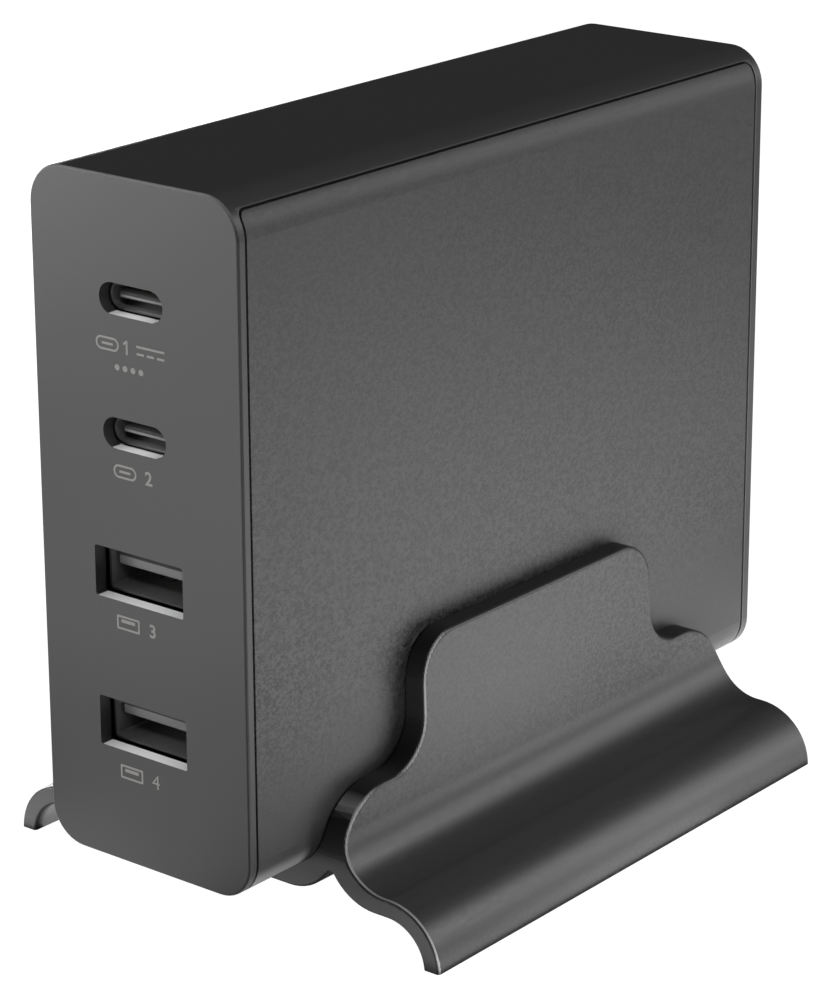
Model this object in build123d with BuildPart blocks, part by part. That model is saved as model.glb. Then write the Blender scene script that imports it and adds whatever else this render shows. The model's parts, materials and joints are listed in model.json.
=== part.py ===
from build123d import *
import math
import os

# Slim upright desktop charger standing in a separate moulded cradle.
# Millimetres. Origin: middle of the footprint, on the table top.
# +X to the right of the port face, -Y is the port face, +Z up.

os.makedirs("parts", exist_ok=True)

# ------------------------------------------------------------------ driving dimensions
body_w = 31.0            # charger body, across X
body_h = 82.0            # charger body, along Z
body_l = 100.7           # charger body, along Y
corner_r = 4.75          # round corners of the X-Z section
edge_r = 0.3             # small rounding around the front and rear faces
wall = 1.8               # wall of the side shell and of the top frame
front_wall = 1.7         # thickness of the port face
lip_t = 1.0              # locating lip inside the parting line
lip_len = 2.9            # how far the lip reaches under the side shell
seam = 0.35              # open width of the parting groove
front_strip = 1.28       # front face to the middle of the groove
rear_strip = 1.67        # rear face to the middle of the groove
seam_angle = 47.5        # where the long groove sits on the top round-over, from the vertical
seam_corner_r = 1.0      # rounded corner of the side shell where its grooves meet

seat_z = 7.92            # underside of the charger above the table

port_x = -0.48           # all four ports are a hair left of the middle
usb_c_upper_z = seat_z + 68.0
usb_c_lower_z = seat_z + 52.4
usb_a_upper_z = seat_z + 35.4
usb_a_lower_z = seat_z + 17.05
usb_c_hole_w, usb_c_hole_h = 9.54, 3.67
usb_a_hole_w, usb_a_hole_h, usb_a_hole_r = 13.44, 6.1, 0.35

usb_c_out_w, usb_c_out_h, usb_c_in_w, usb_c_in_h = 8.94, 3.16, 8.34, 2.56
usb_c_shell_start, usb_c_shell_len = 1.45, 7.95
usb_c_tongue_w, usb_c_tongue_t, usb_c_tongue_start = 6.69, 0.70, 1.85
usb_a_out_w, usb_a_out_h, usb_a_in_w, usb_a_in_h = 13.1, 5.72, 12.5, 5.12
usb_a_shell_start = 2.2
usb_a_tongue_w, usb_a_tongue_t, usb_a_tongue_z, usb_a_tongue_start = 11.1, 1.84, 1.02, 2.85

inlet_z = 24.0           # two-pole inlet on the rear face
inlet_w, inlet_h, inlet_d = 19.4, 11.4, 16.0
inlet_pin_pitch, inlet_pin_d = 8.6, 2.4
inlet_lobe_r, inlet_waist_h, inlet_recess = 3.95, 5.4, 12.0

stand_y = 0.2            # middle of the stand
stand_l = 77.2           # length of the stand
stand_in_x = 15.75       # inner face of the side walls
stand_base_z = 4.75      # underside of the trough
stand_lean = 1.5         # degrees that the outer wall faces lean inwards to the top
bend_cx, bend_cz, bend_r = 25.05, 13.35, 6.25       # hollow bend from the wall into the wing
crest_cx, crest_cz, crest_r = 25.75, -0.25, 7.35    # crest of the wing, running down to the foot
under_cx, under_cz, under_r = 23.5, 12.12, 7.32     # round of the wing's underside next to the trough
foot_cx, foot_cz, foot_r = 25.5, -0.5, 5.3          # hollow inside the foot
tab_half = 22.92         # half length of the raised middle tab
tab_top_z = 32.3
tab_r = 5.6
shoulder_z = 17.11
shoulder_r = 8.2
neck_r = 5.85
stand_edge_r = 0.45      # rounding along the upper rim
under_edge_r = 0.4       # rounding along the lower rim of the end faces
notch_r = 0.6            # root of the groove between the trough and each wing

board_t = 1.6
port_board_y = -36.2     # face of the port board that carries the ports
main_board_x = 10.4      # component face of the main board

# ------------------------------------------------------------------ derived places
front_y = -body_l / 2
rear_y = body_l / 2
mid_z = seat_z + body_h / 2
top_z = seat_z + body_h
cx = body_w / 2 - corner_r
cz = top_z - corner_r
sa = math.radians(seam_angle)


def section(y):
    # plane across the charger at y; local x is X, local y is Z, outward is -Y
    return Plane(origin=(0, y, 0), x_dir=(1, 0, 0), z_dir=(0, -1, 0))


def on_board(y, z):
    # plane on the component face of the main board; outward is -X, local x is Y
    return Plane(origin=(main_board_x, y, z), x_dir=(0, 1, 0), z_dir=(-1, 0, 0))


def cap_points(shift):
    # wedge over the top of the section, bounded by the long grooves;
    # shift moves both bounds sideways by that much, towards the side walls
    dx, dz = math.sin(sa), math.cos(sa)
    ax, az = cx + shift * dz, cz - shift * dx
    far = 22
    return [(ax, az), (ax + far * dx, az + far * dz),
            (-ax - far * dx, az + far * dz), (-ax, az)]


# ------------------------------------------------------------------ top frame: port face, top and rear face in one moulding
with BuildPart() as top_frame:
    # port face
    with BuildSketch(section(front_y)):
        with Locations((0, mid_z)):
            RectangleRounded(body_w, body_h, corner_r)
    extrude(amount=-(front_strip - seam / 2))
    # rear face
    with BuildSketch(section(rear_y)):
        with Locations((0, mid_z)):
            RectangleRounded(body_w, body_h, corner_r)
    extrude(amount=rear_strip - seam / 2)
    fillet(top_frame.faces().sort_by(Axis.Y)[0].outer_wire().edges(), radius=edge_r)
    fillet(top_frame.faces().sort_by(Axis.Y)[-1].outer_wire().edges(), radius=edge_r)
    # top wall with its two round-overs as far as the long grooves
    with BuildSketch(section(front_y + front_strip - seam / 2)):
        with Locations((0, mid_z)):
            RectangleRounded(body_w, body_h, corner_r)
            RectangleRounded(body_w - 2 * wall, body_h - 2 * wall, corner_r - wall, mode=Mode.SUBTRACT)
        with BuildLine():
            Polyline(*cap_points(-seam / 2), close=True)
        make_face(mode=Mode.INTERSECT)
    extrude(amount=-(body_l - front_strip - rear_strip + seam))
    # hollow corners where the long grooves turn down, alongside those of the side shell
    fillet(top_frame.edges().filter_by(
        lambda e: abs(e.length - wall) < 0.1 and e.center().Z > cz and abs(e.center().X) > cx
        and abs(e.tangent_at(0.5).Y) < 0.01), radius=seam_corner_r + seam)
    # locating lip that runs under the edge of the side shell, front and rear
    for y0, reach in ((front_y + front_strip - seam / 2, seam / 2 + lip_len),
                      (rear_y - rear_strip + seam / 2, -seam / 2 - lip_len)):
        with BuildSketch(section(y0)):
            with Locations((0, mid_z)):
                RectangleRounded(body_w - 2 * wall, body_h - 2 * wall, corner_r - wall)
                RectangleRounded(body_w - 2 * wall - 2 * lip_t, body_h - 2 * wall - 2 * lip_t,
                                 corner_r - wall - lip_t, mode=Mode.SUBTRACT)
        extrude(amount=-reach)
    # the same lip under the long grooves
    with BuildSketch(section(front_y + front_strip)):
        with Locations((0, mid_z)):
            RectangleRounded(body_w - 2 * wall, body_h - 2 * wall, corner_r - wall)
            RectangleRounded(body_w - 2 * wall - 2 * lip_t, body_h - 2 * wall - 2 * lip_t,
                             corner_r - wall - lip_t, mode=Mode.SUBTRACT)
        with BuildLine():
            Polyline((cx - 2, cz - 1.6), (cx - 2, top_z), (body_w, top_z), (body_w, cz - 1.6), close=True)
        make_face(mode=Mode.INTERSECT)
        mirror(about=Plane.YZ)
    extrude(amount=-(body_l - front_strip - rear_strip))
    # full thickness of the port face and of the rear face inside the lip
    with BuildSketch(section(front_y + front_strip - seam / 2)):
        with Locations((0, mid_z)):
            RectangleRounded(body_w - 2 * wall, body_h - 2 * wall, corner_r - wall)
    extrude(amount=-(front_wall - front_strip + seam / 2))
    with BuildSketch(section(rear_y - rear_strip + seam / 2)):
        with Locations((0, mid_z)):
            RectangleRounded(body_w - 2 * wall, body_h - 2 * wall, corner_r - wall)
    extrude(amount=wall - rear_strip + seam / 2)
    # port openings
    with BuildSketch(section(front_y)):
        with Locations((port_x, usb_c_upper_z), (port_x, usb_c_lower_z)):
            SlotOverall(usb_c_hole_w, usb_c_hole_h)
        with Locations((port_x, usb_a_upper_z), (port_x, usb_a_lower_z)):
            RectangleRounded(usb_a_hole_w, usb_a_hole_h, usb_a_hole_r)
    extrude(amount=-(front_wall + 1), mode=Mode.SUBTRACT)
    # rear opening, filled by the inlet
    with BuildSketch(section(rear_y)):
        with Locations((0, inlet_z)):
            RectangleRounded(inlet_w, inlet_h, 3.2)
    extrude(amount=wall + 1, mode=Mode.SUBTRACT)
top_frame.part.label = "top_frame"
export_step(top_frame.part, "parts/top_frame.step")

# ------------------------------------------------------------------ side shell: both sides and the underside in one moulding
shell_y0 = front_y + front_strip + seam / 2
shell_y1 = rear_y - rear_strip - seam / 2
with BuildPart() as side_shell:
    with BuildSketch(section(shell_y0)):
        with Locations((0, mid_z)):
            RectangleRounded(body_w, body_h, corner_r)
            RectangleRounded(body_w - 2 * wall, body_h - 2 * wall, corner_r - wall, mode=Mode.SUBTRACT)
        with BuildLine():
            Polyline(*cap_points(seam / 2), close=True)
        make_face(mode=Mode.SUBTRACT)
    extrude(amount=-(shell_y1 - shell_y0))
    # rounded corners where the long groove turns down
    fillet(side_shell.edges().filter_by(
        lambda e: abs(e.length - wall) < 0.1 and e.center().Z > cz and abs(e.center().X) > cx), radius=seam_corner_r)
    # pair of rails that hold the lower edge of the main board
    with BuildSketch(section(-30.0)):
        with Locations((main_board_x - 0.55, seat_z + wall + 1.75), (main_board_x + board_t + 0.4, seat_z + wall + 1.75)):
            Rectangle(0.8, 3.7)
    extrude(amount=-70.0)
side_shell.part.label = "side_shell"
export_step(side_shell.part, "parts/side_shell.step")

# ------------------------------------------------------------------ stand: trough, two side walls and two S-bent wings in one moulding
wall_top = tab_top_z + 4
wing_top_z = bend_cz - bend_r
lean = math.radians(stand_lean)
lean_x = bend_cx - bend_r * math.cos(lean)
lean_z = bend_cz + bend_r * math.sin(lean)
foot_out_x = crest_cx + math.sqrt(crest_r ** 2 - crest_cz ** 2)
foot_in_x = foot_cx + math.sqrt(foot_r ** 2 - foot_cz ** 2)
notch_x = 17.0
notch_z = under_cz - math.sqrt(under_r ** 2 - (under_cx - notch_x) ** 2)
trough_in_r = 5.0
trough_cx = stand_in_x - trough_in_r
half = stand_l / 2
q = math.sqrt(0.5)


def polar(x, z, r, deg):
    return (x + r * math.cos(math.radians(deg)), z + r * math.sin(math.radians(deg)))


def wall_x(z):
    # outer face of a side wall at height z
    return lean_x - (z - lean_z) * math.tan(lean)


trough_out_r = ((notch_x - trough_cx) ** 2 + (notch_z - stand_base_z) ** 2) / (2 * (notch_z - stand_base_z))
notch_half = 0.5 * math.atan2(notch_x - trough_cx, trough_out_r - (notch_z - stand_base_z))

with BuildPart() as stand:
    with BuildSketch(section(stand_y - half)):
        with BuildLine():
            Line((0, stand_base_z), (trough_cx, stand_base_z))
            ThreePointArc((trough_cx, stand_base_z),
                          (trough_cx + trough_out_r * math.sin(notch_half),
                           stand_base_z + trough_out_r * (1 - math.cos(notch_half))),
                          (notch_x, notch_z))
            ThreePointArc((notch_x, notch_z),
                          polar(under_cx, under_cz, under_r, 240.0),
                          (under_cx, under_cz - under_r))
            Line((under_cx, under_cz - under_r), (foot_cx, foot_cz + foot_r))
            ThreePointArc((foot_cx, foot_cz + foot_r),
                          polar(foot_cx, foot_cz, foot_r, 50.0), (foot_in_x, 0))
            Line((foot_in_x, 0), (foot_out_x, 0))
            ThreePointArc((foot_out_x, 0), polar(crest_cx, crest_cz, crest_r, 45.0), (crest_cx, wing_top_z))
            Line((crest_cx, wing_top_z), (bend_cx, wing_top_z))
            ThreePointArc((bend_cx, wing_top_z), polar(bend_cx, bend_cz, bend_r, 225.0), (lean_x, lean_z))
            Line((lean_x, lean_z), (wall_x(wall_top), wall_top))
            Line((wall_x(wall_top), wall_top), (stand_in_x, wall_top))
            Line((stand_in_x, wall_top), (stand_in_x, seat_z + trough_in_r))
            ThreePointArc((stand_in_x, seat_z + trough_in_r),
                          (trough_cx + trough_in_r * q, seat_z + trough_in_r - trough_in_r * q),
                          (trough_cx, seat_z))
            Line((trough_cx, seat_z), (0, seat_z))
            Line((0, seat_z), (0, stand_base_z))
        make_face()
        mirror(about=Plane.YZ)
    extrude(amount=-stand_l)
    # bell-shaped outline of the side walls, cut straight across
    with BuildSketch(Plane(origin=(-40, stand_y, 0), x_dir=(0, 1, 0), z_dir=(1, 0, 0))):
        with BuildLine():
            Line((0, -1), (half, -1))
            Line((half, -1), (half, shoulder_z - shoulder_r))
            ThreePointArc((half, shoulder_z - shoulder_r),
                          (half - shoulder_r + shoulder_r * q, shoulder_z - shoulder_r + shoulder_r * q),
                          (half - shoulder_r, shoulder_z))
            Line((half - shoulder_r, shoulder_z), (tab_half + neck_r, shoulder_z))
            ThreePointArc((tab_half + neck_r, shoulder_z),
                          (tab_half + neck_r - neck_r * q, shoulder_z + neck_r - neck_r * q),
                          (tab_half, shoulder_z + neck_r))
            Line((tab_half, shoulder_z + neck_r), (tab_half, tab_top_z - tab_r))
            ThreePointArc((tab_half, tab_top_z - tab_r),
                          (tab_half - tab_r + tab_r * q, tab_top_z - tab_r + tab_r * q),
                          (tab_half - tab_r, tab_top_z))
            Line((tab_half - tab_r, tab_top_z), (0, tab_top_z))
            Line((0, tab_top_z), (0, -1))
        make_face()
        mirror(about=Plane.YZ)
    extrude(amount=80, mode=Mode.INTERSECT)

    def outer_rim(e):
        # rim between the outer face of the moulding and its cut outline
        c = e @ 0.5
        x = abs(c.X)
        if abs(e.tangent_at(0.5).Y) > 0.999 and abs(c.Z - tab_top_z) > 0.1 and abs(c.Z - shoulder_z) > 0.1:
            return False
        if c.Z > lean_z - 0.01:
            return abs(x - wall_x(c.Z)) < 0.03
        if x < bend_cx:
            return abs(math.hypot(x - bend_cx, c.Z - bend_cz) - bend_r) < 0.03
        if x < crest_cx:
            return abs(c.Z - wing_top_z) < 0.03
        return c.Z > 0.05 and abs(math.hypot(x - crest_cx, c.Z - crest_cz) - crest_r) < 0.03

    def notch_root(e):
        # inner edge of the groove between the trough and a wing
        c = e @ 0.5
        return (abs(abs(c.X) - notch_x) < 0.02 and abs(c.Z - notch_z) < 0.02
                and abs(e.tangent_at(0.5).Y) > 0.99)

    def under_rim(e):
        # rim between the underside, from foot to foot, and the two end faces
        c = e @ 0.5
        x = abs(c.X)
        if abs(abs(c.Y - stand_y) - half) > 0.01 or c.Z < 0.05 or abs(e.tangent_at(0.5).Y) > 0.5:
            return False
        if x > foot_cx:
            return abs(math.hypot(x - foot_cx, c.Z - foot_cz) - foot_r) < 0.03
        if x > under_cx:
            return abs(c.Z - foot_cz - foot_r) < 0.03
        if x > notch_x + 0.5:
            return abs(math.hypot(x - under_cx, c.Z - under_cz) - under_r) < 0.03
        if x > notch_x - 0.5:
            return c.Z < notch_z
        if x > trough_cx:
            return abs(math.hypot(x - trough_cx, c.Z - stand_base_z - trough_out_r) - trough_out_r) < 0.03
        return abs(c.Z - stand_base_z) < 0.03

    fillet(stand.edges().filter_by(notch_root), radius=notch_r)
    fillet(stand.edges().filter_by(outer_rim), radius=stand_edge_r)
    fillet(stand.edges().filter_by(under_rim), radius=under_edge_r)
stand.part.label = "stand"
export_step(stand.part, "parts/stand.step")

# ------------------------------------------------------------------ USB-C receptacles: drawn metal shell, moulded insulator with its tongue, contacts
for name, z in (("upper", usb_c_upper_z), ("lower", usb_c_lower_z)):
    shell_end = front_y + usb_c_shell_start + usb_c_shell_len
    with BuildPart() as usb_c_shell:
        with BuildSketch(section(front_y + usb_c_shell_start)):
            with Locations((port_x, z)):
                SlotOverall(usb_c_out_w, usb_c_out_h)
                SlotOverall(usb_c_in_w, usb_c_in_h, mode=Mode.SUBTRACT)
        extrude(amount=-usb_c_shell_len)
        # rolled inner edge of the mouth
        chamfer(usb_c_shell.faces().sort_by(Axis.Y)[0].inner_wires()[0].edges(), length=0.14)
    usb_c_shell.part.label = "usb_c_shell_" + name
    export_step(usb_c_shell.part, "parts/usb_c_shell_" + name + ".step")

    with BuildPart() as usb_c_insulator:
        # base that stands on the port board
        with BuildSketch(section(shell_end)):
            with Locations((port_x, z)):
                SlotOverall(usb_c_out_w, usb_c_out_h)
        extrude(amount=-(port_board_y - shell_end))
        # plug that closes the rear of the shell
        with BuildSketch(section(shell_end - 1.5)):
            with Locations((port_x, z)):
                SlotOverall(usb_c_in_w, usb_c_in_h)
        extrude(amount=-1.5)
        # tongue
        with BuildSketch(section(front_y + usb_c_tongue_start)):
            with Locations((port_x, z)):
                Rectangle(usb_c_tongue_w, usb_c_tongue_t)
        extrude(amount=-(shell_end - 1.5 - front_y - usb_c_tongue_start))
        chamfer(usb_c_insulator.faces().sort_by(Axis.Y)[0].outer_wire().edges(), length=0.12)
    usb_c_insulator.part.label = "usb_c_insulator_" + name
    export_step(usb_c_insulator.part, "parts/usb_c_insulator_" + name + ".step")

    with BuildPart() as usb_c_contacts:
        for side in (1, -1):
            with BuildSketch(Plane(origin=(port_x, front_y + usb_c_tongue_start + 3.4, z + side * usb_c_tongue_t / 2),
                                   x_dir=(1, 0, 0), z_dir=(0, 0, side))):
                with GridLocations(0.5, 1, 12, 1):
                    Rectangle(0.26, 3.6)
            extrude(amount=0.05)
    usb_c_contacts.part.label = "usb_c_contacts_" + name
    export_step(usb_c_contacts.part, "parts/usb_c_contacts_" + name + ".step")

# ------------------------------------------------------------------ USB-A receptacles: folded metal shell, moulded insulator with its tongue, contacts
for name, z in (("upper", usb_a_upper_z), ("lower", usb_a_lower_z)):
    mouth = front_y + usb_a_shell_start
    with BuildPart() as usb_a_shell:
        with BuildSketch(section(mouth)):
            with Locations((port_x, z)):
                RectangleRounded(usb_a_out_w, usb_a_out_h, 0.6)
                RectangleRounded(usb_a_in_w, usb_a_in_h, 0.3, mode=Mode.SUBTRACT)
        extrude(amount=-(port_board_y - mouth))
        # windows left by the retention springs, two above and two below
        with BuildSketch(Plane(origin=(port_x, mouth + 7.0, z), x_dir=(1, 0, 0), z_dir=(0, 0, 1))):
            with GridLocations(5.6, 1, 2, 1):
                Rectangle(2.2, 3.6)
        extrude(amount=4, both=True, mode=Mode.SUBTRACT)
        # the springs, pressed a little into the mouth and rooted at the rear of each window
        for side in (1, -1):
            for dx in (-2.8, 2.8):
                with BuildSketch(Plane(origin=(port_x + dx - 0.8, 0, 0), x_dir=(0, 1, 0), z_dir=(1, 0, 0))):
                    with BuildLine():
                        Polyline((mouth + 8.85, z + side * (usb_a_in_h / 2)),
                                 (mouth + 6.4, z + side * (usb_a_in_h / 2 - 0.28)),
                                 (mouth + 5.5, z + side * (usb_a_in_h / 2 + 0.10)),
                                 (mouth + 5.5, z + side * (usb_a_in_h / 2 + 0.30)),
                                 (mouth + 6.4, z + side * (usb_a_in_h / 2 - 0.04)),
                                 (mouth + 8.85, z + side * (usb_a_in_h / 2 + 0.26)), close=True)
                    make_face()
                extrude(amount=1.6)
    usb_a_shell.part.label = "usb_a_shell_" + name
    export_step(usb_a_shell.part, "parts/usb_a_shell_" + name + ".step")

    with BuildPart() as usb_a_insulator:
        with BuildSketch(section(port_board_y - 2.6)):
            with Locations((port_x, z)):
                RectangleRounded(usb_a_in_w, usb_a_in_h, 0.3)
        extrude(amount=-2.6)
        with BuildSketch(section(front_y + usb_a_tongue_start)):
            with Locations((port_x, z + usb_a_tongue_z)):
                Rectangle(usb_a_tongue_w, usb_a_tongue_t)
        extrude(amount=-(port_board_y - 2.6 - front_y - usb_a_tongue_start))
        # lead-in along the upper and end edges of the tongue
        nose = usb_a_insulator.faces().sort_by(Axis.Y)[0].edges()
        chamfer(nose.sort_by(Axis.Z)[-1], length=1.0, length2=0.7)
        chamfer(usb_a_insulator.faces().sort_by(Axis.Y)[0].edges().sort_by(Axis.Z)[0], length=0.15)
    usb_a_insulator.part.label = "usb_a_insulator_" + name
    export_step(usb_a_insulator.part, "parts/usb_a_insulator_" + name + ".step")

    with BuildPart() as usb_a_contacts:
        under = z + usb_a_tongue_z - usb_a_tongue_t / 2
        with BuildSketch(Plane(origin=(port_x, front_y + usb_a_tongue_start + 4.4, under),
                               x_dir=(1, 0, 0), z_dir=(0, 0, -1))):
            with Locations((-3.5, 0), (-1.0, 0), (1.0, 0), (3.5, 0)):
                Rectangle(1.0, 6.8)
        extrude(amount=0.15)
    usb_a_contacts.part.label = "usb_a_contacts_" + name
    export_step(usb_a_contacts.part, "parts/usb_a_contacts_" + name + ".step")

# ------------------------------------------------------------------ circuit boards
with BuildPart() as port_board:
    with BuildSketch(section(port_board_y)):
        with Locations((0, seat_z + 41.0)):
            RectangleRounded(25.0, 74.0, 1.0)
    extrude(amount=-board_t)
port_board.part.label = "port_board"
export_step(port_board.part, "parts/port_board.step")

main_y0 = port_board_y + board_t
main_y1 = 45.4
with BuildPart() as main_board:
    with BuildSketch(Plane(origin=(main_board_x, 0, 0), x_dir=(0, 1, 0), z_dir=(1, 0, 0))):
        with Locations(((main_y0 + main_y1) / 2, seat_z + 41.0)):
            Rectangle(main_y1 - main_y0, 74.0)
        # slot that keeps the mains side and the low-voltage side apart
        with Locations((-8.0, seat_z + 16.5)):
            SlotOverall(16.0, 1.6, rotation=90, mode=Mode.SUBTRACT)
    extrude(amount=board_t)
main_board.part.label = "main_board"
export_step(main_board.part, "parts/main_board.step")

# row of square pins that carries the outputs from the main board to the port board
with BuildPart() as link_pins:
    with BuildSketch(section(main_y0)):
        with Locations((main_board_x - 0.32, seat_z + 41.0)):
            with GridLocations(1, 2.54, 1, 12):
                Rectangle(0.64, 0.64)
    extrude(amount=-5.0)
link_pins.part.label = "link_pins"
export_step(link_pins.part, "parts/link_pins.step")

# ------------------------------------------------------------------ two-pole inlet in the rear face
with BuildPart() as inlet_body:
    with BuildSketch(section(rear_y - inlet_d)):
        with Locations((0, inlet_z)):
            RectangleRounded(inlet_w, inlet_h, 3.2)
    extrude(amount=-(inlet_d - 0.1))
    chamfer(inlet_body.faces().sort_by(Axis.Y)[-1].outer_wire().edges(), length=0.2)
    # figure-of-eight recess
    with BuildSketch(section(rear_y)):
        with Locations((-inlet_pin_pitch / 2, inlet_z), (inlet_pin_pitch / 2, inlet_z)):
            Circle(inlet_lobe_r)
        with Locations((0, inlet_z)):
            Rectangle(inlet_pin_pitch, inlet_waist_h)
    extrude(amount=inlet_recess, mode=Mode.SUBTRACT)
    # bores for the two pins
    with BuildSketch(section(rear_y)):
        with Locations((-inlet_pin_pitch / 2, inlet_z), (inlet_pin_pitch / 2, inlet_z)):
            Circle(inlet_pin_d / 2)
    extrude(amount=inlet_d + 1, mode=Mode.SUBTRACT)
inlet_body.part.label = "inlet_body"
export_step(inlet_body.part, "parts/inlet_body.step")

with BuildPart() as inlet_pins:
    with BuildSketch(section(rear_y - 2.2)):
        with Locations((-inlet_pin_pitch / 2, inlet_z), (inlet_pin_pitch / 2, inlet_z)):
            Circle(inlet_pin_d / 2)
    extrude(amount=inlet_d)
    fillet(inlet_pins.faces().sort_by(Axis.Y)[-2:].edges(), radius=0.8)
inlet_pins.part.label = "inlet_pins"
export_step(inlet_pins.part, "parts/inlet_pins.step")

# two insulated leads from the inner pin ends to the main board
pin_end = rear_y - 2.2 - inlet_d
with BuildPart() as inlet_leads:
    for dx, dz in ((inlet_pin_pitch / 2, 1.6), (-inlet_pin_pitch / 2, -2.6)):
        with BuildLine() as lead:
            FilletPolyline((dx, pin_end, inlet_z), (dx, pin_end - 3.2, inlet_z),
                           (dx + 1.9, pin_end - 4.6, inlet_z + dz), (main_board_x, pin_end - 4.6, inlet_z + dz),
                           radius=1.0)
        with BuildSketch(Plane(origin=(dx, pin_end, inlet_z), x_dir=(1, 0, 0), z_dir=(0, -1, 0))):
            Circle(0.85)
        sweep(path=lead.line)
inlet_leads.part.label = "inlet_leads"
export_step(inlet_leads.part, "parts/inlet_leads.step")

# ------------------------------------------------------------------ mains side components on the main board
with BuildPart() as fuse:
    with BuildSketch(Plane(origin=(main_board_x - 2.6, 20.0, seat_z + 7.4), x_dir=(1, 0, 0), z_dir=(0, 1, 0))):
        Circle(2.1)
    extrude(amount=10.5)
    fillet(fuse.edges(), radius=0.3)
    # bent legs
    for y in (18.8, 31.7):
        with BuildSketch(Plane(origin=(main_board_x, y, seat_z + 7.4), x_dir=(0, 1, 0), z_dir=(-1, 0, 0))):
            Circle(0.35)
        extrude(amount=2.6)
        with BuildSketch(Plane(origin=(main_board_x - 2.6, min(y, 30.0) - 0.35, seat_z + 7.4), x_dir=(1, 0, 0), z_dir=(0, 1, 0))):
            Circle(0.35)
        extrude(amount=2.1)
fuse.part.label = "fuse"
export_step(fuse.part, "parts/fuse.step")

choke_y, choke_z, choke_h = 35.6, seat_z + 68.4, 9.0
with BuildPart() as choke_core:
    with BuildSketch(on_board(choke_y, choke_z).offset(2.2)):
        Circle(7.6)
        Circle(4.2, mode=Mode.SUBTRACT)
    extrude(amount=choke_h)
    fillet(choke_core.edges(), radius=0.6)
choke_core.part.label = "choke_core"
export_step(choke_core.part, "parts/choke_core.step")

# two windings, each a sleeve of wire around one half of the ring
with BuildPart() as choke_windings:
    for a0, a1 in ((20, 160), (200, 340)):
        with BuildSketch(on_board(choke_y, choke_z).offset(1.1)):
            with BuildLine():
                CenterArc((0, 0), 8.7, a0, a1 - a0)
                CenterArc((0, 0), 3.1, a0, a1 - a0)
                Line(polar(0, 0, 3.1, a0), polar(0, 0, 8.7, a0))
                Line(polar(0, 0, 3.1, a1), polar(0, 0, 8.7, a1))
            make_face()
        extrude(amount=choke_h + 2.2)
    with BuildSketch(on_board(choke_y, choke_z).offset(2.2)):
        Circle(7.6)
        Circle(4.2, mode=Mode.SUBTRACT)
    extrude(amount=choke_h, mode=Mode.SUBTRACT)
    # wire ends down to the board
    with BuildSketch(on_board(choke_y, choke_z)):
        with Locations((6.0, 4.6), (-6.0, 4.6), (6.0, -4.6), (-6.0, -4.6)):
            Circle(0.5)
    extrude(amount=1.1)
choke_windings.part.label = "choke_windings"
export_step(choke_windings.part, "parts/choke_windings.step")

with BuildPart() as x_capacitor:
    with BuildSketch(on_board(9.0, seat_z + 12.6).offset(0.4)):
        Rectangle(18.0, 9.0)
    extrude(amount=14.5)
    fillet(x_capacitor.edges(), radius=0.5)
    with BuildSketch(on_board(9.0, seat_z + 12.6)):
        with Locations((-7.5, 0), (7.5, 0)):
            Circle(0.4)
    extrude(amount=0.6)
x_capacitor.part.label = "x_capacitor"
export_step(x_capacitor.part, "parts/x_capacitor.step")

with BuildPart() as y_capacitors:
    for y in (-3.4, -8.8):
        with BuildSketch(Plane(origin=(main_board_x - 5.4, y - 1.7, seat_z + 30.5), x_dir=(1, 0, 0), z_dir=(0, 1, 0))):
            Circle(4.2)
        extrude(amount=3.4)
        with BuildSketch(on_board(y, seat_z + 30.5)):
            with Locations((0, -2.5), (0, 2.5)):
                Circle(0.3)
        extrude(amount=2.4)
y_capacitors.part.label = "y_capacitors"
export_step(y_capacitors.part, "parts/y_capacitors.step")

with BuildPart() as bridge_rectifier:
    with BuildSketch(on_board(15.5, seat_z + 69.0).offset(3.0)):
        Rectangle(15.0, 3.8)
    extrude(amount=10.5)
    chamfer(bridge_rectifier.edges().group_by(Axis.X)[0], length=0.4)
    with BuildSketch(on_board(15.5, seat_z + 69.0)):
        with GridLocations(3.8, 1, 4, 1):
            Rectangle(0.9, 0.5)
    extrude(amount=3.0)
bridge_rectifier.part.label = "bridge_rectifier"
export_step(bridge_rectifier.part, "parts/bridge_rectifier.step")

# two smoothing capacitors lying along the board
with BuildPart() as bulk_capacitors:
    for z in (seat_z + 33.0, seat_z + 50.5):
        with BuildSketch(Plane(origin=(main_board_x - 8.4, 8.0, z), x_dir=(1, 0, 0), z_dir=(0, 1, 0))):
            Circle(8.2)
        extrude(amount=33.0)
        fillet(bulk_capacitors.edges().filter_by(GeomType.CIRCLE).filter_by(
            lambda e, zz=z: abs(e.arc_center.Z - zz) < 0.1 and e.radius > 8), radius=0.7)
        # rolled groove near the sealed end
        with BuildSketch(Plane(origin=(main_board_x - 8.4, 10.2, z), x_dir=(1, 0, 0), z_dir=(0, 1, 0))):
            Circle(8.4)
            Circle(7.6, mode=Mode.SUBTRACT)
        extrude(amount=1.0, mode=Mode.SUBTRACT)
        # bent legs
        for dz in (-3.7, 3.7):
            with BuildSketch(Plane(origin=(main_board_x - 8.4, 5.6, z + dz), x_dir=(1, 0, 0), z_dir=(0, 1, 0))):
                Circle(0.4)
            extrude(amount=2.5)
            with BuildSketch(on_board(6.0, z + dz)):
                Circle(0.4)
            extrude(amount=8.4)
bulk_capacitors.part.label = "bulk_capacitors"
export_step(bulk_capacitors.part, "parts/bulk_capacitors.step")

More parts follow.
